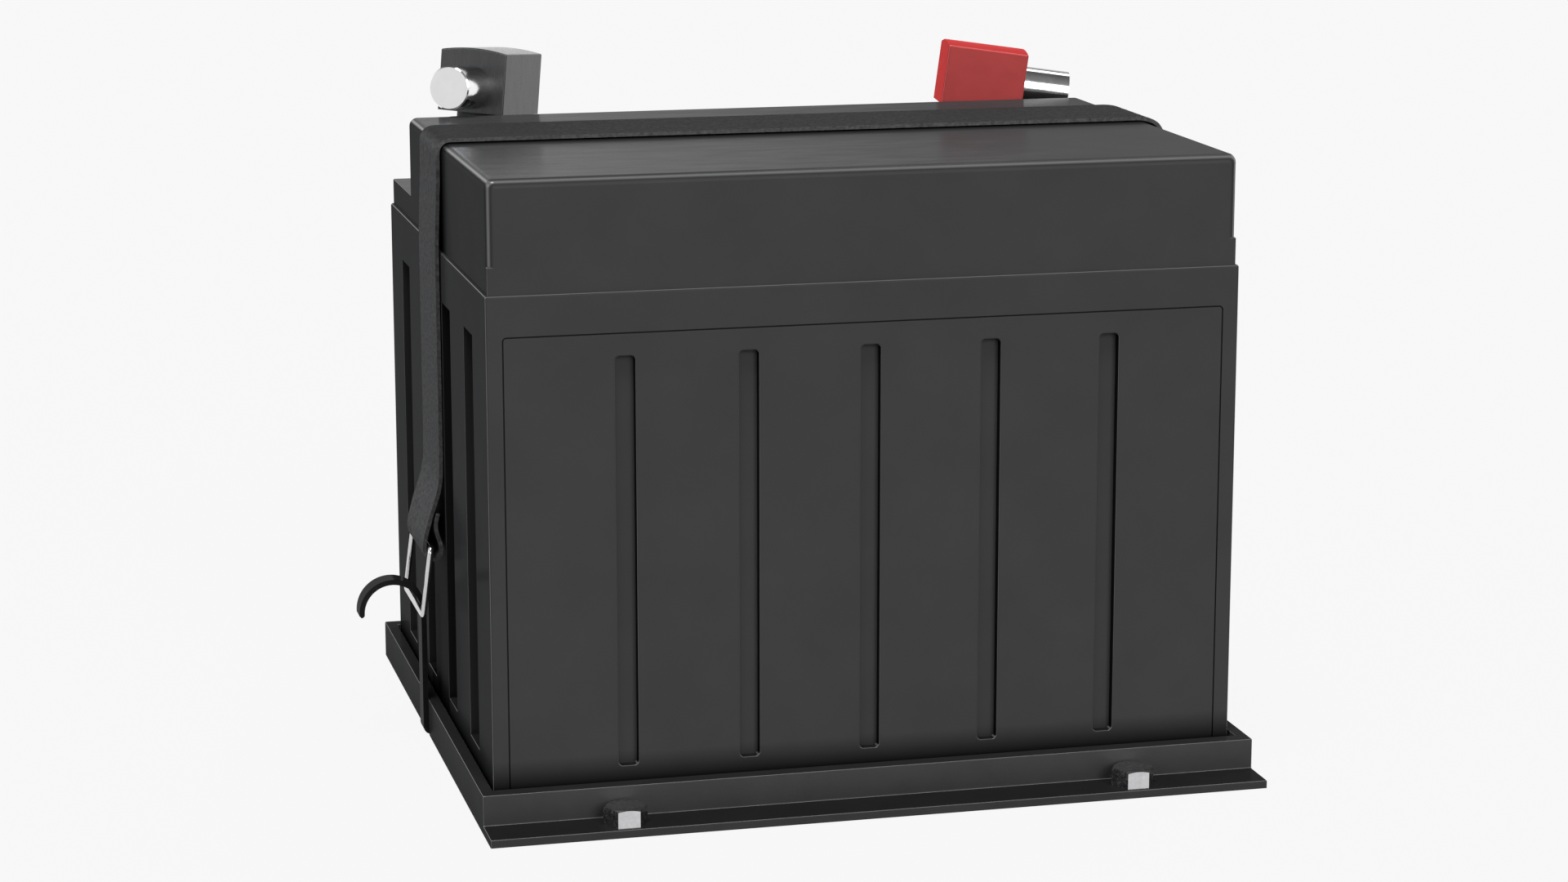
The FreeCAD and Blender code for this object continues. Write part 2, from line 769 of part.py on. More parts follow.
for node, shape in pieces.items():
    shape.exportStep("parts/" + node + ".step")
    print(node, len(shape.Solids), "solids", round(shape.Volume / 1000, 2), "cm3", shape.isValid())
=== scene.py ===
import math

import bpy
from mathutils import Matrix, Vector, noise


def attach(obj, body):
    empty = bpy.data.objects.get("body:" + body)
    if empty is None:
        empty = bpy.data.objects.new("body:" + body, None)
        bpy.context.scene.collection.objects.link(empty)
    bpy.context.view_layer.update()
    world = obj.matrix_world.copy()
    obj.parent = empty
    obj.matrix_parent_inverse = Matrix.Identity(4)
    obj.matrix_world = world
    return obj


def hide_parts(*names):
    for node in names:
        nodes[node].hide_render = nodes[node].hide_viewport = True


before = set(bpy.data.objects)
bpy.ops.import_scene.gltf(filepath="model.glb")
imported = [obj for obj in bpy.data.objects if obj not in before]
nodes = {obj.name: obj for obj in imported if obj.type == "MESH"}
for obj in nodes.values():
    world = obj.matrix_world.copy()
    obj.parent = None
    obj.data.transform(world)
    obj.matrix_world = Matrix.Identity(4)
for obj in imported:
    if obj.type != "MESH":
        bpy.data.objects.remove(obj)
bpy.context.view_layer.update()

mm = 0.001
print("frame loaded:", len(nodes), "pieces")

# Where each mask begins and ends. Noise runs from 0 to 1, and the others say how squarely a surface
# faces an axis, 1 being squarely.
maskSpans = {
    "noise": (0.3, 0.7), "upward": (0.4, 0.9), "upwardCoat": (0.6, 0.95), "wall": (0.88, 0.93),
    "rounded": (0.93, 0.995), "ridge": (0.74, 0.88), "ridgeCoat": (0.72, 0.86)}
recessEdge = 0.1 * mm
strapMiddle = 4.6 * mm


# A node of a material, with its sockets filled from a dictionary.
def addNode(tree, kind, sockets=None, **settings):
    made = tree.nodes.new(kind)
    for name, value in settings.items():
        setattr(made, name, value)
    for name, value in (sockets or {}).items():
        if isinstance(value, bpy.types.NodeSocket):
            tree.links.new(value, made.inputs[name])
        else:
            made.inputs[name].default_value = value
    return made


# Noise whose lumps are about one size across, drawn out along an axis where stretch is above 1.
def grainNoise(tree, size, stretch=(1, 1, 1), detail=4.0):
    place = addNode(tree, "ShaderNodeTexCoord")
    scaled = addNode(tree, "ShaderNodeMapping", {
        "Vector": place.outputs["Object"],
        "Scale": tuple(1 / (size * way) for way in stretch)})
    made = addNode(tree, "ShaderNodeTexNoise", {
        "Vector": scaled.outputs["Vector"], "Scale": 1.0, "Detail": detail, "Roughness": 0.6})
    return made.outputs["Fac"]


def blendColour(tree, share, first, second):
    made = addNode(tree, "ShaderNodeMix", data_type="RGBA")
    tree.links.new(share, made.inputs[0])
    for slot, value in ((6, first), (7, second)):
        if isinstance(value, bpy.types.NodeSocket):
            tree.links.new(value, made.inputs[slot])
        else:
            made.inputs[slot].default_value = (*value, 1.0)
    return made.outputs[2]


def spread(tree, value, fromLow, fromHigh, low, high):
    made = addNode(tree, "ShaderNodeMapRange", {
        "Value": value, "From Min": fromLow, "From Max": fromHigh, "To Min": low, "To Max": high})
    return made.outputs["Result"]


def joined(tree, operation, first, second):
    made = addNode(tree, "ShaderNodeMath", operation=operation)
    for slot, value in enumerate((first, second)):
        if isinstance(value, bpy.types.NodeSocket):
            tree.links.new(value, made.inputs[slot])
        else:
            made.inputs[slot].default_value = value
    return made.outputs[0]


def mixShaders(tree, share, first, second):
    return addNode(tree, "ShaderNodeMixShader", {0: share, 1: first, 2: second}).outputs[0]


# Where a surface point lies and which way it faces, axis by axis and without sign.
def surfaceParts(tree):
    place = addNode(tree, "ShaderNodeSeparateXYZ", {
        "Vector": addNode(tree, "ShaderNodeTexCoord").outputs["Object"]})
    facing = addNode(tree, "ShaderNodeSeparateXYZ", {
        "Vector": addNode(tree, "ShaderNodeNewGeometry").outputs["Normal"]})
    sizes = {axis: joined(tree, "ABSOLUTE", place.outputs[axis], 0.0) for axis in "XYZ"}
    turns = {axis: joined(tree, "ABSOLUTE", facing.outputs[axis], 0.0) for axis in "XYZ"}
    return place, facing, sizes, turns


# The walls of grooves, slots and lines, which little light reaches: each span is an axis, the least and
# the greatest distance from the middle along it, and the depth of the shade.
def recessShare(tree, spans, sizes, turns):
    share = 0.0
    for axis, low, high, depth in spans:
        above = spread(tree, sizes[axis], low - recessEdge, low, 0.0, 1.0)
        below = spread(tree, sizes[axis], high, high + recessEdge, 1.0, 0.0)
        flat = spread(tree, turns[axis], *maskSpans["wall"], 0.0, depth)
        inside = joined(tree, "MULTIPLY", joined(tree, "MULTIPLY", above, below), flat)
        share = joined(tree, "MAXIMUM", inside, share)
    return share


# A finish: two near shades mottled together, uneven gloss and a fine grain that the light picks up.
# mottle is how far the two shades lie from colour, gloss the lowest and highest roughness, and a Size
# is the width of one lump. The next keys paint shade into the colour: lowShade darkens the foot over
# lowSpan, topShade what faces up, edgeShade what is rounded, recess the walls in its spans, and beside
# paints the strap's shadow on the surface next to it: its middle, where the shade starts and ends, and
# its depth. The ridge colour is a painted highlight on the ridges. edgeCoat is what the coat gains on
# ridges, and topCoat what it gains on top: one amount, or one at each end of topSpan, broken up by the
# cloud keys.
def makeFinish(name, look):
    material = bpy.data.materials.new(name)
    material.use_nodes = True
    tree = material.node_tree
    shader = tree.nodes["Principled BSDF"]
    shader.inputs["Metallic"].default_value = look.get("metallic", 0.0)
    shader.inputs["Specular IOR Level"].default_value = look.get("specular", 0.5)
    shader.inputs["Coat Weight"].default_value = look.get("coat", 0.0)
    shader.inputs["Coat Roughness"].default_value = look.get("coatRoughness", 0.1)
    shader.inputs["Sheen Weight"].default_value = look.get("sheen", 0.0)
    shader.inputs["Sheen Tint"].default_value = (*look.get("sheenTint", (1, 1, 1)), 1.0)
    mottle = grainNoise(tree, look["mottleSize"], look.get("mottleStretch", (1, 1, 1)), detail=5.0)
    share = spread(tree, mottle, *maskSpans["noise"], 0.0, 1.0)
    dark = tuple(c * (1 - look["mottle"]) for c in look["colour"])
    light = tuple(c * (1 + look["mottle"]) for c in look["colour"])
    colour = blendColour(tree, share, dark, light)
    grain = grainNoise(tree, look["grainSize"], look.get("grainStretch", (1, 1, 1)), detail=3.0)
    place, facing, sizes, turns = surfaceParts(tree)
    black = (0.0, 0.0, 0.0)
    flatness = joined(tree, "MAXIMUM", turns["X"], joined(tree, "MAXIMUM", turns["Y"], turns["Z"]))
    # Painted shade toward the foot, on faces that look up, along rounded edges and on recess walls.
    if "lowShade" in look:
        amount = spread(tree, place.outputs["Z"], *look["lowSpan"], look["lowShade"], 0.0)
        colour = blendColour(tree, amount, colour, black)
    if "topShade" in look:
        amount = spread(tree, facing.outputs["Z"], *maskSpans["upward"], 0.0, look["topShade"])
        colour = blendColour(tree, amount, colour, black)
    if "edgeShade" in look:
        amount = spread(tree, flatness, *maskSpans["rounded"], look["edgeShade"], 0.0)
        colour = blendColour(tree, amount, colour, black)
    if "recess" in look:
        amount = recessShare(tree, look["recess"], sizes, turns)
        colour = blendColour(tree, amount, colour, black)
    # A painted highlight: the ridges blended toward a lighter colour.
    if "ridgeHighlight" in look:
        amount = spread(tree, flatness, *maskSpans["ridge"], look.get("ridgeHighlightShare", 0.8), 0.0)
        colour = blendColour(tree, amount, colour, look["ridgeHighlight"])
    # The strap's painted shadow on the surface beside it, which also takes coat away there.
    strapShade = 0.0
    if "beside" in look:
        middle, near, far, depth = look["beside"]
        away = joined(tree, "ABSOLUTE", joined(tree, "SUBTRACT", place.outputs["Y"], middle), 0.0)
        strapShade = spread(tree, away, near, far, depth, 0.0)
        colour = blendColour(tree, strapShade, colour, black)
    tree.links.new(colour, shader.inputs["Base Color"])
    smear = grainNoise(tree, look["glossSize"], look.get("glossStretch", (1, 1, 1)))
    roughness = spread(tree, smear, *maskSpans["noise"], *look["gloss"])
    tree.links.new(roughness, shader.inputs["Roughness"])
    bump = addNode(tree, "ShaderNodeBump", {
        "Strength": 1.0, "Distance": look["grainRise"], "Height": grain})
    if "wave" in look:
        swell = grainNoise(tree, look["waveSize"], look.get("waveStretch", (1, 1, 1)), detail=2.0)
        slow = addNode(tree, "ShaderNodeBump", {
            "Strength": 1.0, "Distance": look["wave"], "Height": swell})
        tree.links.new(slow.outputs["Normal"], bump.inputs["Normal"])
    tree.links.new(bump.outputs["Normal"], shader.inputs["Normal"])
    tree.links.new(bump.outputs["Normal"], shader.inputs["Coat Normal"])
    if "tint" in look:
        shader.inputs["Specular Tint"].default_value = (*look["tint"], 1.0)
    weight = look.get("coat", 0.0)
    if "topCoat" in look:
        polish = look["topCoat"]
        if "topSpan" in look:
            cloud = grainNoise(tree, look["cloudSize"], look["cloudStretch"])
            shift = joined(tree, "MULTIPLY", joined(tree, "SUBTRACT", cloud, 0.5),
                           look["cloudShift"])
            side = joined(tree, "ADD", place.outputs["X"], shift)
            polish = spread(tree, side, *look["topSpan"], *look["topCoat"])
        up = spread(tree, facing.outputs["Z"], *maskSpans["upwardCoat"], 0.0, 1.0)
        polish = joined(tree, "MULTIPLY", polish, joined(tree, "SUBTRACT", 1.0, strapShade))
        weight = joined(tree, "ADD", joined(tree, "MULTIPLY", polish, up), weight)
    if "edgeCoat" in look:
        polish = spread(tree, flatness, *maskSpans["ridgeCoat"], look["edgeCoat"], 0.0)
        weight = joined(tree, "ADD", polish, weight)
    if isinstance(weight, bpy.types.NodeSocket):
        tree.links.new(weight, shader.inputs["Coat Weight"])
    return material


def dress(material, *names):
    for name in names:
        for holder in nodes[name].material_slots:
            holder.material = material
        if not nodes[name].material_slots:
            nodes[name].data.materials.append(material)


# Case and lid: dark grey moulded polypropylene, satin on the sides, and the lid polished on top.
# On both, edgeShade paints shade along rounded edges and the ridge colour a painted highlight; beside
# paints the strap's shadow on the case and the strap's shadow and reflection on the lid, and lowShade
# paints shade toward the case's foot.
casePlastic = {
    "colour": (0.043, 0.043, 0.044), "mottle": 0.05, "mottleSize": 24 * mm,
    "gloss": (0.5, 0.65), "glossSize": 9 * mm, "glossStretch": (2.5, 1, 1), "specular": 0.0,
    "coat": 0.035, "coatRoughness": 0.16,
    "grainSize": 0.5 * mm, "grainStretch": (2, 1, 1), "grainRise": 0.012 * mm,
    "wave": 0.05 * mm, "waveSize": 14 * mm, "edgeShade": 0.3, "edgeCoat": 0.7,
    "ridgeHighlight": (0.13, 0.13, 0.132), "beside": (strapMiddle, 19.2 * mm, 21 * mm, 0.6),
    "lowShade": 0.84, "lowSpan": (12 * mm, 21.5 * mm)}
lidPlastic = dict(casePlastic, glossSize=5 * mm, glossStretch=(4, 1, 1), coat=0.035,
                  topCoat=(0.27, 0.05), topSpan=(-0.15, 0.06), cloudSize=6 * mm,
                  cloudStretch=(4, 1, 1), cloudShift=0.16,
                  wave=0.06 * mm, waveSize=9 * mm, waveStretch=(5, 1, 1),
                  grainRise=0.02 * mm, beside=(strapMiddle, 19.5 * mm, 30 * mm, 0.9))
# Painted shade on the walls of the case's own grooves, slots and panel line, added after the lid has
# taken its copy.
casePlastic["recess"] = [
    ("X", 0.0, 125.5 * mm, 0.78), ("Y", 0.0, 103 * mm, 0.34), ("Z", 8 * mm, 177 * mm, 0.5),
    ("X", 129.3 * mm, 129.8 * mm, 0.75), ("Y", 106.85 * mm, 107.3 * mm, 0.7)]
dress(makeFinish("caseMoulding", casePlastic), "case")
dress(makeFinish("lidMoulding", lidPlastic), "lid")

# Tray: black stove enamel over pressed steel, with painted shade toward the foot, on faces that look up
# and along rounded edges, and a painted highlight on its ridges.
trayEnamel = {
    "colour": (0.046, 0.046, 0.047), "mottle": 0.08, "mottleSize": 18 * mm,
    "gloss": (0.45, 0.6), "glossSize": 6 * mm, "specular": 0.0,
    "coat": 0.05, "coatRoughness": 0.2, "lowShade": 0.26, "lowSpan": (3 * mm, 12 * mm),
    "edgeShade": 0.3, "edgeCoat": 0.8, "ridgeHighlight": (0.16, 0.16, 0.165), "topShade": 0.6,
    "topCoat": -0.015,
    "grainSize": 0.7 * mm, "grainRise": 0.03 * mm, "wave": 0.07 * mm, "waveSize": 4 * mm}
dress(makeFinish("trayEnamel", trayEnamel), "tray")

# Nuts, bails and cable stubs: bright metal.
nutZinc = {
    "colour": (0.55, 0.55, 0.56), "metallic": 1.0, "mottle": 0.06, "mottleSize": 3 * mm,
    "gloss": (0.16, 0.3), "glossSize": 1.5 * mm, "grainSize": 0.35 * mm, "grainRise": 0.006 * mm}
bailWire = {
    "colour": (0.6, 0.6, 0.6), "metallic": 1.0, "mottle": 0.08, "mottleSize": 2 * mm,
    "gloss": (0.14, 0.24), "glossSize": 1 * mm, "grainSize": 0.3 * mm, "grainRise": 0.003 * mm}
# The stubs' faces that look up are darkened with painted shade.
stubTin = {
    "colour": (0.95, 0.95, 0.95), "metallic": 1.0, "topShade": 0.72,
    "mottle": 0.02, "mottleSize": 4 * mm, "gloss": (0.07, 0.16), "glossSize": 2 * mm,
    "glossStretch": (1, 1, 4), "grainSize": 0.3 * mm, "grainRise": 0.004 * mm}
dress(makeFinish("nutZinc", nutZinc), "tray_nuts")
dress(makeFinish("bailWire", bailWire), "left_bail", "right_bail")
dress(makeFinish("stubTin", stubTin), "negative_stub", "positive_stub")

# Hooks: black oxide on spring steel.
hookBlack = {
    "colour": (0.012, 0.012, 0.0125), "mottle": 0.15, "mottleSize": 4 * mm,
    "gloss": (0.28, 0.42), "glossSize": 2 * mm, "specular": 0.0,
    "coat": 0.14, "coatRoughness": 0.18,
    "grainSize": 0.4 * mm, "grainRise": 0.01 * mm}
dress(makeFinish("hookBlack", hookBlack), "left_hook", "right_hook")

# Terminal heads: brushed black on the negative side, gloss red on the positive side.
negativeShell = {
    "colour": (0.026, 0.026, 0.027), "mottle": 0.2, "mottleSize": 3 * mm,
    "mottleStretch": (1, 1, 6), "gloss": (0.2, 0.34), "glossSize": 1.5 * mm,
    "glossStretch": (1, 1, 8), "specular": 0.5,
    "coat": 0.32, "coatRoughness": 0.16, "grainSize": 0.25 * mm,
    "grainStretch": (1, 1, 12), "grainRise": 0.01 * mm}
# The red head's ridges carry a painted highlight.
positiveShell = {
    "colour": (0.3, 0.046, 0.045), "metallic": 0.55, "mottle": 0.05, "mottleSize": 6 * mm,
    "gloss": (0.34, 0.46), "glossSize": 3 * mm, "specular": 0.0, "tint": (1.0, 0.12, 0.12),
    "sheen": 0.7, "sheenTint": (1.0, 0.1, 0.1), "ridgeHighlight": (0.8, 0.2, 0.2), "ridgeHighlightShare": 0.6,
    "grainSize": 0.4 * mm, "grainRise": 0.01 * mm}
dress(makeFinish("negativeShell", negativeShell), "negative_cover")
dress(makeFinish("positiveShell", positiveShell), "positive_cover")

# Cores, plate straps and cell links: cast lead alloy. Posts and bushes: the same, dulled by air, and
# darkened further with painted shade from the heads above them.
castLead = {
    "colour": (0.32, 0.33, 0.35), "metallic": 1.0, "mottle": 0.12, "mottleSize": 3 * mm,
    "gloss": (0.35, 0.55), "glossSize": 2 * mm, "grainSize": 0.5 * mm, "grainRise": 0.03 * mm}
oxidisedAndShadedLead = dict(castLead, colour=(0.075, 0.077, 0.08), metallic=0.0, specular=0.2,
                gloss=(0.55, 0.7))
dress(makeFinish("castLead", castLead), "negative_core", "positive_core", "positive_bars",
      "negative_bars", "cell_links")
dress(makeFinish("oxidisedAndShadedLead", oxidisedAndShadedLead), "negative_post", "positive_post", "post_bushes")

# Inside the case: pasted plates, glass mat, rubber caps and seals, sintered arrestor disc.
positivePaste = {
    "colour": (0.11, 0.055, 0.035), "mottle": 0.2, "mottleSize": 5 * mm,
    "gloss": (0.7, 0.9), "glossSize": 3 * mm, "specular": 0.3,
    "grainSize": 0.6 * mm, "grainRise": 0.05 * mm}
negativePaste = dict(positivePaste, colour=(0.2, 0.21, 0.22))
glassMat = dict(positivePaste, colour=(0.75, 0.75, 0.72), mottle=0.06, grainStretch=(1, 4, 1))
softRubber = dict(positivePaste, colour=(0.015, 0.015, 0.015), mottle=0.1, gloss=(0.5, 0.7))
sinteredDisc = dict(positivePaste, colour=(0.6, 0.6, 0.57), mottle=0.1, grainSize=0.3 * mm)
dress(makeFinish("positivePaste", positivePaste), "positive_plates")
dress(makeFinish("negativePaste", negativePaste), "negative_plates")
dress(makeFinish("glassMat", glassMat), "separators")
dress(makeFinish("softRubber", softRubber), "valve_caps", "post_seals")
dress(makeFinish("sinteredDisc", sinteredDisc), "flame_arrestor")
dress(makeFinish("innerCover", casePlastic), "inner_cover")
print("finishes made:", len(bpy.data.materials))


# The hold-down strap: herringbone webbing, from its loop on the left bail over the lid to the right
# one. Its lengths are millimetres, and its places are (x, z) points of its middle line.
webbing = {
    "half": 19.0,          # half its width
    "outer": 1.0,          # its outer and inner face, from the middle line
    "inner": -0.5,
    "step": 0.42,          # between rows along the strap
    "columns": 58,
    "pick": 1.3,           # one weft thread along the strap
    "chevron": 7.6,        # a herringbone strip and its mirror
    "slope": 2.2,          # threads that a chevron climbs
    "rise": 0.16,          # how far the threads stand up
    "edgeRise": 0.24,      # how ragged the woven edge is
    "inset": 0.35,         # from the edge to the first warp thread
    "bevel": 0.08,         # how far the edge face stops short of the outer and inner face
    "smooth": 0.8,         # how far a bend of the route is evened out
    "worn": (0.75, 0.5),   # a thread's usual height, and how much it changes
    "wornScale": (0.45, 0.6), "wornSeed": 3.7,
    "ragged": (0.5, 0.6),  # the edge's usual share of edgeRise, and how much it changes
    "raggedScale": 0.7, "raggedSeeds": (9.1, 1.3)}
lidCorner = {"middle": (-126.0, 213.55), "reach": 3.9, "steps": 14}
leftLoop = [(-137.25, 75.2), (-137.4, 73.2), (-137.2, 71.2), (-136.0, 69.4), (-134.2, 68.75),
            (-132.5, 69.6), (-131.75, 71.6), (-132.05, 74.1), (-132.9, 76.7), (-133.65, 79.2),
            (-133.7, 81.6), (-133.3, 83.6), (-132.85, 85.4)]
leftRun = [(-129.95, 205.0), (-130.87, 181.0), (-130.87, 110.0), (-130.95, 101.2),
           (-131.2, 96.9), (-132.1, 92.4), (-133.5, 88.1), (-134.75, 84.7), (-135.75, 81.0),
           (-136.75, 77.6)]
rightRun = [(126.0, 217.35), (129.0, 216.95), (131.2, 216.2), (133.2, 214.8), (134.6, 212.4),
            (135.2, 209.0), (135.4, 200.0), (135.5, 150.0), (135.55, 100.0), (135.65, 92.0),
            (135.9, 85.0), (136.5, 79.5)]
rightLoop = [(137.25, 75.2), (137.4, 73.2), (137.2, 71.2), (136.0, 69.4), (134.2, 68.75),
             (132.5, 69.6), (131.75, 71.6), (132.05, 74.1), (132.9, 76.7), (133.75, 79.2),
             (134.15, 81.6), (134.2, 83.6), (134.15, 85.6)]


# The same route, with its points one step apart.
def evenPath(points, step):
    made = []
    carried = 0.0
    for start, end in zip(points, points[1:]):
        run = math.dist(start, end)
        while carried < run:
            share = carried / run
            made.append((start[0] + share * (end[0] - start[0]),
                         start[1] + share * (end[1] - start[1])))
            carried += step
        carried -= run
    made.append(points[-1])
    return made


# The same points, each drawn toward its neighbours within about this width.
def softened(points, step, width):
    reach = int(3 * width / step)
    weights = [math.exp(-0.5 * (k * step / width) ** 2) for k in range(-reach, reach + 1)]
    made = []
    for i in range(len(points)):
        room = min(i, len(points) - 1 - i, reach)
        total = x = z = 0.0
        for k in range(-room, room + 1):
            weight = weights[k + reach]
            total += weight
            x += weight * points[i + k][0]
            z += weight * points[i + k][1]
        made.append((x / total, z / total))
    return made


def strapLine(look):
    corner = []
    for i in range(lidCorner["steps"] + 1):
        angle = math.radians(180 - 90 * i / lidCorner["steps"])
        corner.append((lidCorner["middle"][0] + lidCorner["reach"] * math.cos(angle),
                       lidCorner["middle"][1] + lidCorner["reach"] * math.sin(angle)))
    route = leftLoop[::-1] + leftRun[::-1] + corner + rightRun + rightLoop
    return softened(evenPath(route, look["step"]), look["step"], look["smooth"])


# How high the threads stand at a place on the webbing, about 0 to 1.
def threadHeight(look, along, across):
    strip = abs((across / look["chevron"]) % 1.0 - 0.5) * 2
    phase = along / look["pick"] + strip * look["slope"]
    alongScale, acrossScale = look["wornScale"]
    wander = noise.noise(Vector((along * alongScale, across * acrossScale, look["wornSeed"])))
    usual, change = look["worn"]
    return (0.5 + 0.5 * math.cos(2 * math.pi * phase)) * (usual + change * wander)


# How far the woven edge on one side stands from the middle, ragged along the strap.
def wovenEdge(look, side, along):
    usual, change = look["ragged"]
    sideSeed, seed = look["raggedSeeds"]
    place = Vector((along * look["raggedScale"], side * sideSeed, seed))
    return side * (look["half"] - look["edgeRise"] * (usual + change * noise.noise(place)))


# The points round the webbing at one step of its line: outer face, edge, inner face, other edge.
def webbingRing(look, spot, heading, along):
    x, z = spot
    outX, outZ = -math.sin(heading), math.cos(heading)
    half, inset, gaps = look["half"], look["inset"], look["columns"] - 1
    threads = [-half + inset + 2 * (half - inset) * k / gaps for k in range(look["columns"])]
    faceEnds = (look["outer"] - look["bevel"], look["inner"] + look["bevel"])
    places = []
    for across in threads:
        sunk = look["rise"] * (1 - threadHeight(look, along, across))
        places.append((across, look["outer"] - sunk))
    edge = wovenEdge(look, 1, along)
    places += [(edge, out) for out in faceEnds]
    for across in reversed(threads):
        height = threadHeight(look, along + look["pick"] / 2, across)
        places.append((across, look["inner"] + look["rise"] * (1 - height)))
    edge = wovenEdge(look, -1, along)
    places += [(edge, out) for out in reversed(faceEnds)]
    return [((x + outX * out) * mm, strapMiddle + across * mm, (z + outZ * out) * mm)
            for across, out in places]


# One closed skin: a ring of points at each step, and a face at each end.
def makeStrap(look):
    line = strapLine(look)
    points = []
    for i, spot in enumerate(line):
        before = line[max(i - 1, 0)]
        after = line[min(i + 1, len(line) - 1)]
        heading = math.atan2(after[1] - before[1], after[0] - before[0])
        points += webbingRing(look, spot, heading, i * look["step"])
    ring = 2 * look["columns"] + 4      # two woven faces, and two points at each edge
    faces = []
    for i in range(len(line) - 1):
        for k in range(ring):
            after = (k + 1) % ring
            faces.append((i * ring + k, (i + 1) * ring + k, (i + 1) * ring + after,
                          i * ring + after))
    last = (len(line) - 1) * ring
    faces.append(tuple(range(ring)))
    faces.append(tuple(last + k for k in reversed(range(ring))))
    mesh = bpy.data.meshes.new("hold_down_strap")
    mesh.from_pydata(points, [], faces)
    mesh.validate()
    mesh.update()
    for face in mesh.polygons:
        face.use_smooth = True
    corners = (look["columns"], look["columns"] + 1, ring - 2, ring - 1)
    for edge in mesh.edges:
        first, second = (corner % ring for corner in edge.vertices)
        edge.use_edge_sharp = first == second and first in corners
    strap = bpy.data.objects.new("hold_down_strap", mesh)
    bpy.context.scene.collection.objects.link(strap)
    return strap


# The strap's cloth: painted shade darkens the faces that look up and its woven edges.
strapCloth = {
    "colour": (0.085, 0.085, 0.086), "mottle": 0.42, "mottleSize": 1.4 * mm,
    "gloss": (0.62, 0.85), "glossSize": 1.5 * mm, "specular": 0.03, "topShade": 0.72,
    "recess": [("Y", 0.0, 1.0, 0.2)],       # painted shade on its two woven edges
    "grainSize": 0.22 * mm, "grainStretch": (1, 3, 1), "grainRise": 0.05 * mm}
strap = makeStrap(webbing)
strap.data.materials.append(makeFinish("strapCloth", strapCloth))
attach(strap, "base")
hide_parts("strap")
print("strap woven:", len(strap.data.vertices), "points")


# Camera: place in metres, angles in degrees, lens and sensor in millimetres.
shot = {
    "place": (-0.32094, -1.27376, 0.38305), "tilt": 77.913, "turn": -14.016, "roll": 0.03,
    "lens": 84.66, "sensor": 36.0, "nearest": 0.05, "farthest": 60.0}
cameraData = bpy.data.cameras.new("camera")
cameraData.sensor_width = shot["sensor"]
cameraData.lens = shot["lens"]
cameraData.clip_start = shot["nearest"]
cameraData.clip_end = shot["farthest"]
camera = bpy.data.objects.new("camera", cameraData)
bpy.context.scene.collection.objects.link(camera)
camera.location = shot["place"]
camera.rotation_euler = (math.radians(shot["tilt"]), math.radians(shot["roll"]),
                         math.radians(shot["turn"]))
bpy.context.scene.camera = camera


# Lamps: far softboxes, each given by where it stands round the object and how wide it looks, in
# degrees.
lamps = {
    "frontLamp": {"azimuth": 13, "height": 20, "width": 36, "strength": 0.68},
    "topLamp": {"azimuth": -30, "height": 72, "width": 26, "strength": 0.7},
    "leftLamp": {"azimuth": -75, "height": 25, "width": 26, "strength": 0.15,
                 "colour": (0.84, 0.92, 1.0)},
    "backLamp": {"azimuth": 140, "height": 52, "width": 20, "strength": 0.2}}
lampDistance = 3


def addLamp(name, look):
    data = bpy.data.lights.new(name, "SUN")
    data.angle = math.radians(look["width"])
    data.energy = look["strength"] * math.pi
    data.color = look.get("colour", (1, 1, 1))
    lamp = bpy.data.objects.new(name, data)
    bpy.context.scene.collection.objects.link(lamp)
    turn, rise = math.radians(look["azimuth"]), math.radians(look["height"])
    away = Vector((math.sin(turn) * math.cos(rise), -math.cos(turn) * math.cos(rise),
                   math.sin(rise)))
    lamp.rotation_euler = away.to_track_quat("Z", "Y").to_euler()
    lamp.location = away * lampDistance


for name, look in lamps.items():
    addLamp(name, look)

# Floor and room: a pale floor, seen white but for the object's faint shadow, in a plain room.
paper = {
    "white": 0.985,        # floor and room as the eye sees them
    "colour": 0.28,        # the floor's own colour, for the light it throws back
    "shade": 0.08,         # how much of the shadow shows on it
    "reach": 14.0,         # half the floor's side
    "world": 0.2,          # the room's light on dull surfaces
    "ceiling": 0.2,        # what gloss mirrors above, within this span of heights
    "ceilingSpan": (0.45, 0.75),
    "front": 0.55,         # and what it mirrors in front
    "frontSpan": (-0.15, -0.7)}


# White where it is seen straight, mirrored or through something, and plain to all other light.
def whiteToTheEye(tree, plain, white):
    seen = addNode(tree, "ShaderNodeLightPath")
    glossy = joined(tree, "MAXIMUM", seen.outputs["Is Camera Ray"], seen.outputs["Is Glossy Ray"])
    share = joined(tree, "MAXIMUM", glossy, seen.outputs["Is Transmission Ray"])
    return mixShaders(tree, share, plain, white)


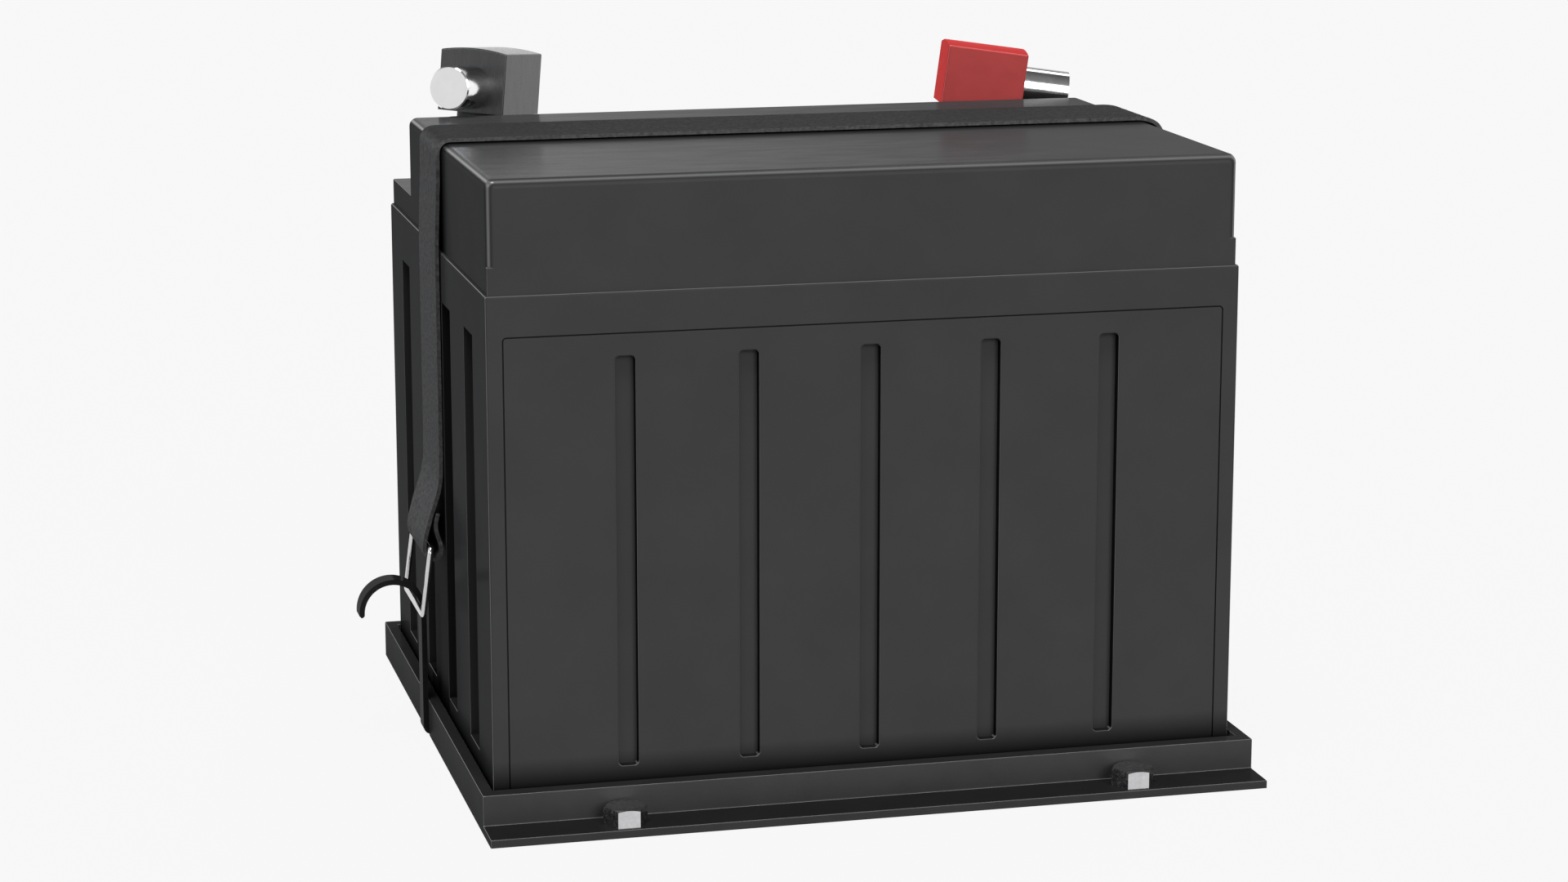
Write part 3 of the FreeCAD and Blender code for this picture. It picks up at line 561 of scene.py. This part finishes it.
def makeFloor():
    material = bpy.data.materials.new("paper")
    material.use_nodes = True
    tree = material.node_tree
    tree.nodes.clear()
    out = addNode(tree, "ShaderNodeOutputMaterial")
    plain = addNode(tree, "ShaderNodeBsdfDiffuse", {"Color": (paper["colour"],) * 3 + (1,)})
    glow = addNode(tree, "ShaderNodeEmission", {
        "Color": (paper["white"],) * 3 + (1,), "Strength": 1.0})
    shaded = mixShaders(tree, paper["shade"], glow.outputs[0], plain.outputs[0])
    tree.links.new(whiteToTheEye(tree, plain.outputs[0], shaded), out.inputs["Surface"])
    mesh = bpy.data.meshes.new("floor")
    far = paper["reach"]
    mesh.from_pydata([(-far, -far, 0), (far, -far, 0), (far, far, 0), (-far, far, 0)], [],
                     [(0, 1, 2, 3)])
    floor = bpy.data.objects.new("floor", mesh)
    floor.data.materials.append(material)
    bpy.context.scene.collection.objects.link(floor)


def makeWorld():
    world = bpy.data.worlds.new("room")
    bpy.context.scene.world = world
    world.use_nodes = True
    tree = world.node_tree
    tree.nodes.clear()
    out = addNode(tree, "ShaderNodeOutputWorld")
    plain = addNode(tree, "ShaderNodeBackground", {
        "Color": (1, 1, 1, 1), "Strength": paper["world"]})
    way = addNode(tree, "ShaderNodeSeparateXYZ", {
        "Vector": addNode(tree, "ShaderNodeTexCoord").outputs["Generated"]})
    height = spread(tree, way.outputs["Z"], *paper["ceilingSpan"], 0.0, 1.0)
    toward = spread(tree, way.outputs["Y"], *paper["frontSpan"], 0.0, 1.0)
    shade = blendColour(tree, toward, (paper["white"],) * 3, (paper["front"],) * 3)
    shade = blendColour(tree, height, shade, (paper["ceiling"],) * 3)
    mirrored = addNode(tree, "ShaderNodeBackground", {"Color": shade, "Strength": 1.0})
    white = addNode(tree, "ShaderNodeBackground", {
        "Color": (paper["white"],) * 3 + (1,), "Strength": 1.0})
    seen = addNode(tree, "ShaderNodeLightPath")
    lit = mixShaders(tree, seen.outputs["Is Glossy Ray"], plain.outputs[0], mirrored.outputs[0])
    straight = joined(tree, "MAXIMUM", seen.outputs["Is Camera Ray"],
                      seen.outputs["Is Transmission Ray"])
    tree.links.new(mixShaders(tree, straight, lit, white.outputs[0]), out.inputs["Surface"])


makeFloor()
makeWorld()
bpy.context.scene.view_settings.view_transform = "Standard"
print("room, lamps and camera set")
